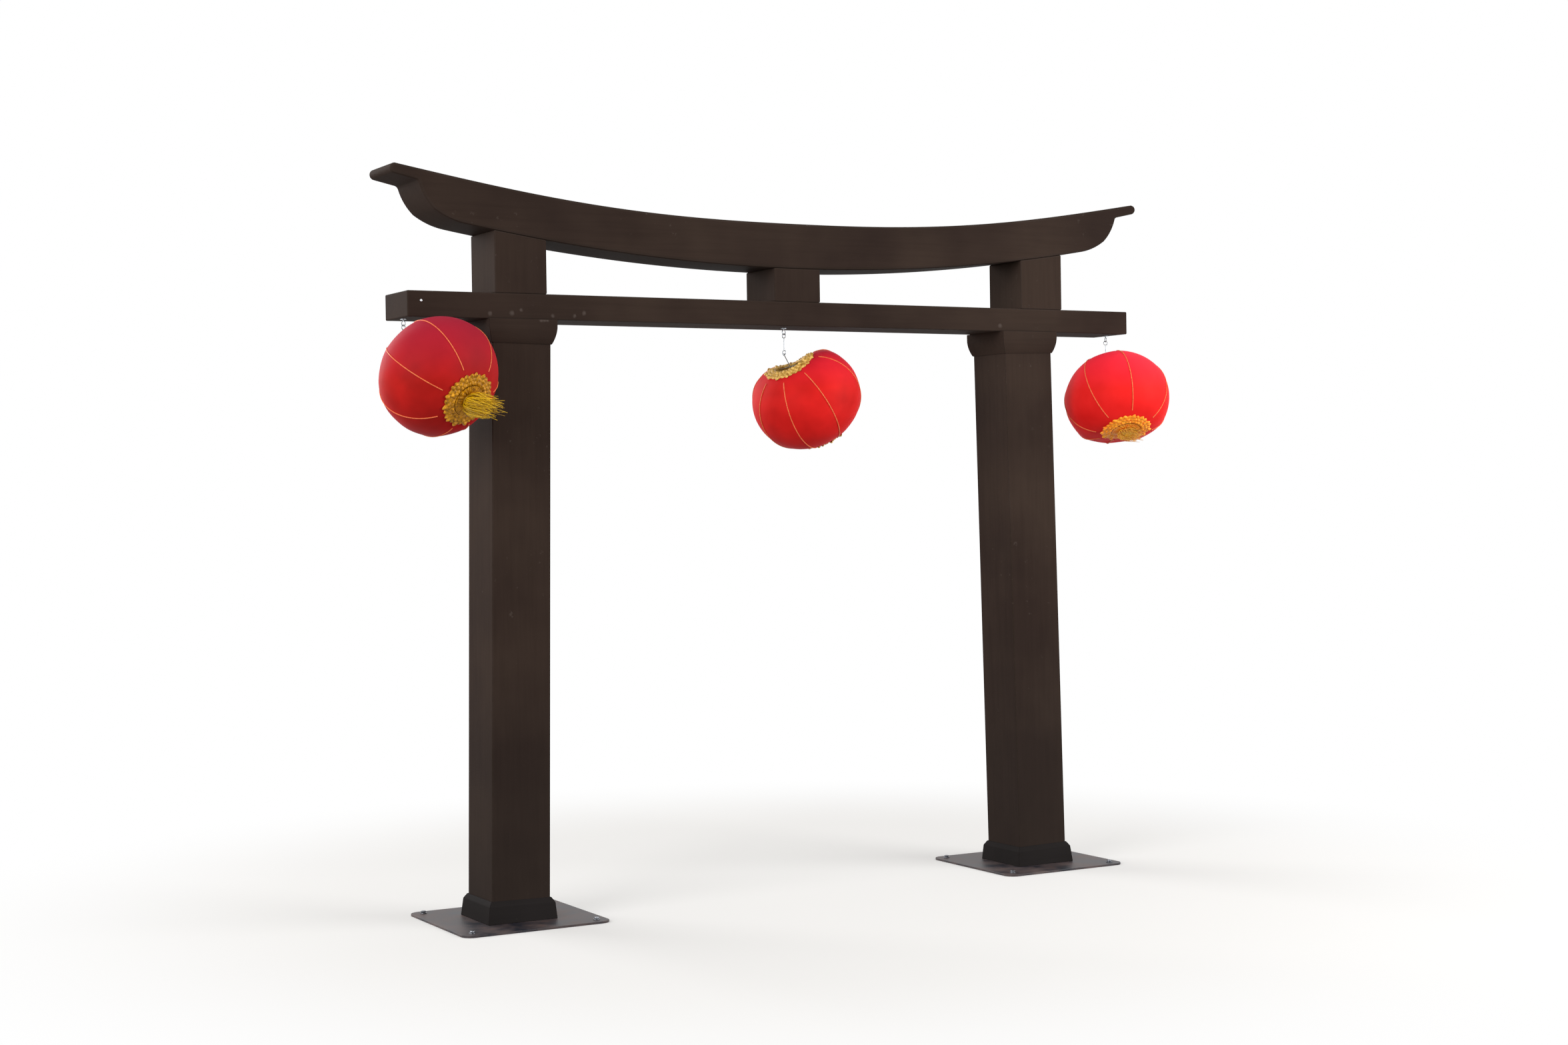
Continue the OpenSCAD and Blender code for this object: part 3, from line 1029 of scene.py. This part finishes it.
        move_points(trim, knotted)
        if mouth is self.dent_mouth:
            move_points(trim, self.sunk)
        apply_modifier(trim, "SUBSURF", levels=1, render_levels=1)
        apply_modifier(trim, "SOLIDIFY", thickness=self.foil * MM, offset=1.0)
        coat(trim, gilt, 60)
        if mouth is Mouth.BOTTOM:
            trim = join([trim, self.make_frill(lip, gilt)], trim.name)
        settle(trim, self.place @ Matrix.Diagonal((1, 1, mouth.value, 1)))
        if mouth is Mouth.BOTTOM:
            start_edit(trim)
            close_edit()
        return trim

    def make_frill(self, lip: float, gilt: Material) -> Object:
        """Spins the pleated frill that closes the opening round the tassel.

        Args:
            lip: height of the opening's edge in mm.
            gilt: the foil.

        Returns:
            The frill, drawn as for the top opening.
        """
        steps = 8
        inner = self.frill_inner
        tube = self.mouth - self.collar_gap - self.collar_wall
        profile = [(inner + (tube - inner) * i / steps, lip) for i in range(steps + 1)]
        frill = spun(f"{self.body}_frill", profile, 160)

        def pleated(point: Vector) -> Vector:
            turn = atan2(point.y, point.x)
            share = (hypot(point.x, point.y) / MM - inner) / (tube - inner)
            pleat = abs(sin(0.5 * self.knots * turn + 2.2 * sin(3 * turn) + 2.5 * share))
            height = 0.4 + 0.6 * sin(pi * min(1.0, share + 0.25))
            return point + Vector((0.0, 0.0, (1.0 + self.pleat_height * pleat * height) * MM))

        move_points(frill, pleated)
        if self.dent_mouth is Mouth.BOTTOM:
            move_points(frill, self.sunk)
        apply_modifier(frill, "SUBSURF", levels=1, render_levels=1)
        apply_modifier(frill, "SOLIDIFY", thickness=self.frill_foil * MM, offset=1.0)
        coat(frill, gilt, 60)
        return frill

    def make_strand(self) -> Object:
        """Models one straight strand, 3 mm thick so that it shows; real ones are under 1 mm.

        Returns:
            The strand, from 0.5 m above the origin to 0.5 m below.
        """
        strand = disc("strand", 4, self.thread_radius * MM, 0.5)
        start_edit(strand)
        steps = 8
        for _ in range(steps):
            bpy.ops.mesh.extrude_region_move(TRANSFORM_OT_translate={"value": (0, 0, -1 / steps)})
        close_edit()
        return strand

    def make_knot(self, knot_z: float) -> list[Object]:
        """Models the flat knot that the strands hang from and three turns of yarn that bind it.

        Args:
            knot_z: the knot's height in mm.

        Returns:
            The knot and the turns.
        """
        sphere = bpy.ops.mesh.primitive_uv_sphere_add
        knot = primitive(sphere, "knot", segments=24, ring_count=12, radius=self.tassel_knot * MM)
        settle(knot, Matrix.Translation((0, 0, (knot_z + 4) * MM)) @ Matrix.Diagonal((1, 1, 0.3, 1)))
        parts = [knot]
        for k in range(3):
            turn = primitive(
                bpy.ops.mesh.primitive_torus_add,
                "binding",
                major_segments=24,
                minor_segments=8,
                major_radius=(9 + 7 * k) * MM,
                minor_radius=1.8 * MM,
                location=(0, 0, (knot_z + 12.5 - 1.5 * k) * MM),
            )
            parts.append(turn)
        for part in parts:
            shade_yarn(part, 0.45)
        return parts

    def make_tassel(self, thread: Material) -> Object:
        """Copies one strand into a bundle that the wind blows, and adds the knot.

        Args:
            thread: the yarn's finish.

        Returns:
            The tassel.
        """
        chance = random.Random(self.side.value)
        lip = self.on_cloth(self.mouth_angle)[1]
        knot_z = -(lip - self.bar_inset) - self.tassel_drop
        wind = (self.place.to_3x3().inverted() @ Vector(self.blow)).normalized()
        out = Vector((0.0, 0.0, -1.0))
        strand = self.make_strand()
        strands = []
        for i in range(self.threads):
            spoke = i * GOLDEN_ANGLE
            ring = sqrt((i + 0.5) / self.threads)
            length = self.thread_length * chance.uniform(0.72, 1.0)
            fan = chance.uniform(0.7, 1.0)
            stray = Vector((chance.gauss(0, 1), chance.gauss(0, 1), chance.gauss(0, 1))) * self.thread_stray
            foot = Vector((cos(spoke), sin(spoke), 0)) * self.tassel_radius * ring

            def blown(point: Vector) -> Vector:
                along = (0.5 - point.z) * length
                ahead = self.bend * (1 - exp(-along / self.bend))
                middle = Vector((0, 0, knot_z)) + out * ahead + wind * (along - ahead)
                share = along / length
                flare = 0.5 + 0.5 * (1 - exp(-along / 12))
                spread = foot * fan * flare * (1 - 0.3 * share) + stray * share**1.5
                taper = 1.0 - 0.5 * share
                return (middle + spread) * MM + Vector((point.x, point.y, 0)) * taper

            twin = copy_of(strand, Matrix.Identity(4))
            move_points(twin, blown)
            shade_yarn(twin, chance.uniform(0.1, 0.9))
            strands.append(twin)
        bpy.data.objects.remove(strand)
        tassel = join([*self.make_knot(knot_z), *strands], f"{self.body}_tassel_threads")
        coat(tassel, thread, 60)
        seat = Vector((0.0, 0.0, -lip * MM))
        settle(tassel, self.place @ Matrix.Translation(self.pressed(seat) - seat))
        return tassel

    def build(self, braid: Material) -> None:
        """Makes the lantern's soft pieces and hands them to its body.

        Args:
            braid: the finish of the braids on its ribs.
        """
        title = self.body.replace("_", " ")
        cloth = self.make_cloth(SatinCloth(f"red polyester satin, {title}", *self.reds_as_lit).make())
        show(cloth, self.body, "lantern_cloth", f"{self.body}_shade")
        ribs = self.make_ribs(braid)
        show(ribs, self.body, "gilt_trim")
        gilt = GiltFoil(f"gilt foil, {title}", *self.golds_as_lit).make()
        if self.dent:
            node = f"{self.body}_{'bail' if self.dent_mouth is Mouth.TOP else 'tassel_bar'}"
            show(self.make_bar(node), self.body, "wire_steel", node)
        for mouth in Mouth:
            trim = self.make_trim(mouth, gilt)
            show(trim, self.body, "gilt_trim", f"{self.body}_{mouth.name.lower()}_collar")
        tassel = self.make_tassel(RayonThread(f"yellow rayon thread, {title}", *self.yellows_as_lit).make())
        show(tassel, self.body, "tassel_thread", f"{self.body}_tassel")


# Studio


@dataclass
class Studio:
    """The camera at the photograph's place, soft lamps, a white world and a pale floor, in metres."""

    eye: Point = (-3.213, -7.7105, 1.4869)
    yaw: float = 0.5138
    pitch: float = -0.0124
    roll: float = -0.0153
    focal_px: float = 3531.956
    image_width: float = 2352.0
    sensor_mm: float = 36.0
    middle: Point = (1.15, 0.0, 1.4)
    floor_radius: float = 60.0
    daylight: float = 0.62

    def camera(self) -> None:
        """Sets the camera."""
        level = cos(self.pitch)
        ahead = Vector((sin(self.yaw) * level, cos(self.yaw) * level, sin(self.pitch)))
        right = Vector((cos(self.yaw), -sin(self.yaw), 0.0))
        up = right.cross(ahead)
        across = cos(self.roll) * right + sin(self.roll) * up
        above = cos(self.roll) * up - sin(self.roll) * right
        data = bpy.data.cameras.new("photo_camera")
        data.sensor_fit = "HORIZONTAL"
        data.sensor_width = self.sensor_mm
        data.lens = self.sensor_mm * self.focal_px / self.image_width
        data.clip_end = 200.0
        camera = add_object("photo_camera", data)
        turn = Matrix((across, above, -ahead)).transposed().to_4x4()
        camera.matrix_world = Matrix.Translation(self.eye) @ turn
        bpy.context.scene.camera = camera

    def lamp(self, name: str, place: Point, size: float, power: float) -> None:
        """Hangs one square soft lamp that faces the gate's middle.

        Args:
            name: the lamp's name.
            place: where it hangs.
            size: its side.
            power: its power in watts.
        """
        data = bpy.data.lights.new(name, "AREA")
        data.size = size
        data.energy = power
        lamp = add_object(name, data)
        aim = (Vector(self.middle) - Vector(place)).to_track_quat("-Z", "Y").to_matrix().to_4x4()
        lamp.matrix_world = Matrix.Translation(place) @ aim

    def world(self) -> None:
        """Makes the world white where it is seen and a soft grey light elsewhere."""
        world = bpy.data.worlds.new("studio")
        world.use_nodes = True
        world.node_tree.nodes.clear()
        add = partial(add_node, world.node_tree)
        light = add("Background", {"Color": (1.0, 0.985, 0.96, 1.0), "Strength": self.daylight})
        white = add("Background", {"Color": (1.0, 1.0, 1.0, 1.0), "Strength": 1.0})
        mixed = add("MixShader", links={0: seen_mask(add), 1: light, 2: white})
        add("OutputWorld", links={"Surface": mixed})
        bpy.context.scene.world = world

    def floor(self) -> None:
        """Lays the floor."""
        floor = disc("floor", 64, self.floor_radius)
        floor.data.materials.append(StudioFloor("pale studio floor", self.middle[0]).make())

    def build(self) -> None:
        """Sets up the whole studio."""
        self.camera()
        self.world()
        self.floor()
        self.lamp("key from the left", (-12.0, -5.0, 5.0), 9.0, 1400.0)
        self.lamp("fill from the right", (6.0, -5.0, 3.0), 5.0, 430.0)
        self.lamp("soft light from behind", (-3.5, 9.0, 5.0), 6.0, 600.0)
        bpy.context.scene.view_settings.view_transform = "Standard"


def lanterns() -> list[Lantern]:
    """Gives the three lanterns as the photograph shows them, from left to right."""
    # One cloth, foil and thread for all three; their colours differ from lantern to lantern as painted light
    # and shade
    return [
        Lantern(
            Side.LEFT,
            hook_x=-355.0,
            tilt=59.0,
            heading=-69.0,
            ribs=(-128, -77, -28, 30, 78, 113, 148, 183),
            reds_as_lit=("#b81b17", "#9a1410", "#a01c30"),
            golds_as_lit=("#dc9a10", "#7c4e06"),
            yellows_as_lit=("#f4c40c", "#7c5602"),
            blow=(0.87, -0.42, -0.16),
            bend=26.0,
        ),
        Lantern(
            Side.MIDDLE,
            hook_x=1150.0,
            tilt=38.0,
            heading=20.0,
            ribs=(-202, -159, -116, -62, -16, 28, 71, 114),
            reds_as_lit=("#dc201d", "#c01714", "#d02038"),
            golds_as_lit=("#f4ca6c", "#a06c1c"),
            yellows_as_lit=("#f0c61a", "#946a05"),
            blow=(0.3, 0.9, 0.35),
            bend=26.0,
            dent=52.0,
            dent_turn=32.0,
        ),
        Lantern(
            Side.RIGHT,
            hook_x=2655.0,
            tilt=37.0,
            heading=-107.0,
            ribs=(-52, -3, 53, 98, 140, 182, 220, 256),
            reds_as_lit=("#ee2422", "#de1a18", "#ff3048"),
            golds_as_lit=("#ffb22c", "#f07408"),
            yellows_as_lit=("#ffc834", "#e0800a"),
            blow=(0.8, 0.3, 0.1),
            bend=22.0,
            dent=38.0,
            dent_mouth=Mouth.BOTTOM,
            dent_turn=180.0,
            dent_width=120.0,
        ),
    ]


def main() -> None:
    """Builds the studio, then the gate and its lanterns."""
    logging.basicConfig(level=logging.INFO, format="%(name)s: %(message)s")
    Studio().build()
    Timbers().build()
    FootPlates().build()
    BeamScrew().build()
    wire = ZincPlate("zinc-plated wire", metal="#b9bdc2", dull="#84888d").make()
    for name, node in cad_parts.items():
        if name.endswith(("_hook", "_hanger", "_bail", "_tassel_bar")):
            node.data.materials.clear()
            node.data.materials.append(wire)
            LOG.info("%s: wire", name)
    braid = GiltFoil("gilt rib braid", bright="#f0864f", shaded_hollow="#d45a32", crease=5.0, shine=0.0).make()
    for lantern in lanterns():
        lantern.build(braid)


if __name__ == "__main__":
    main()
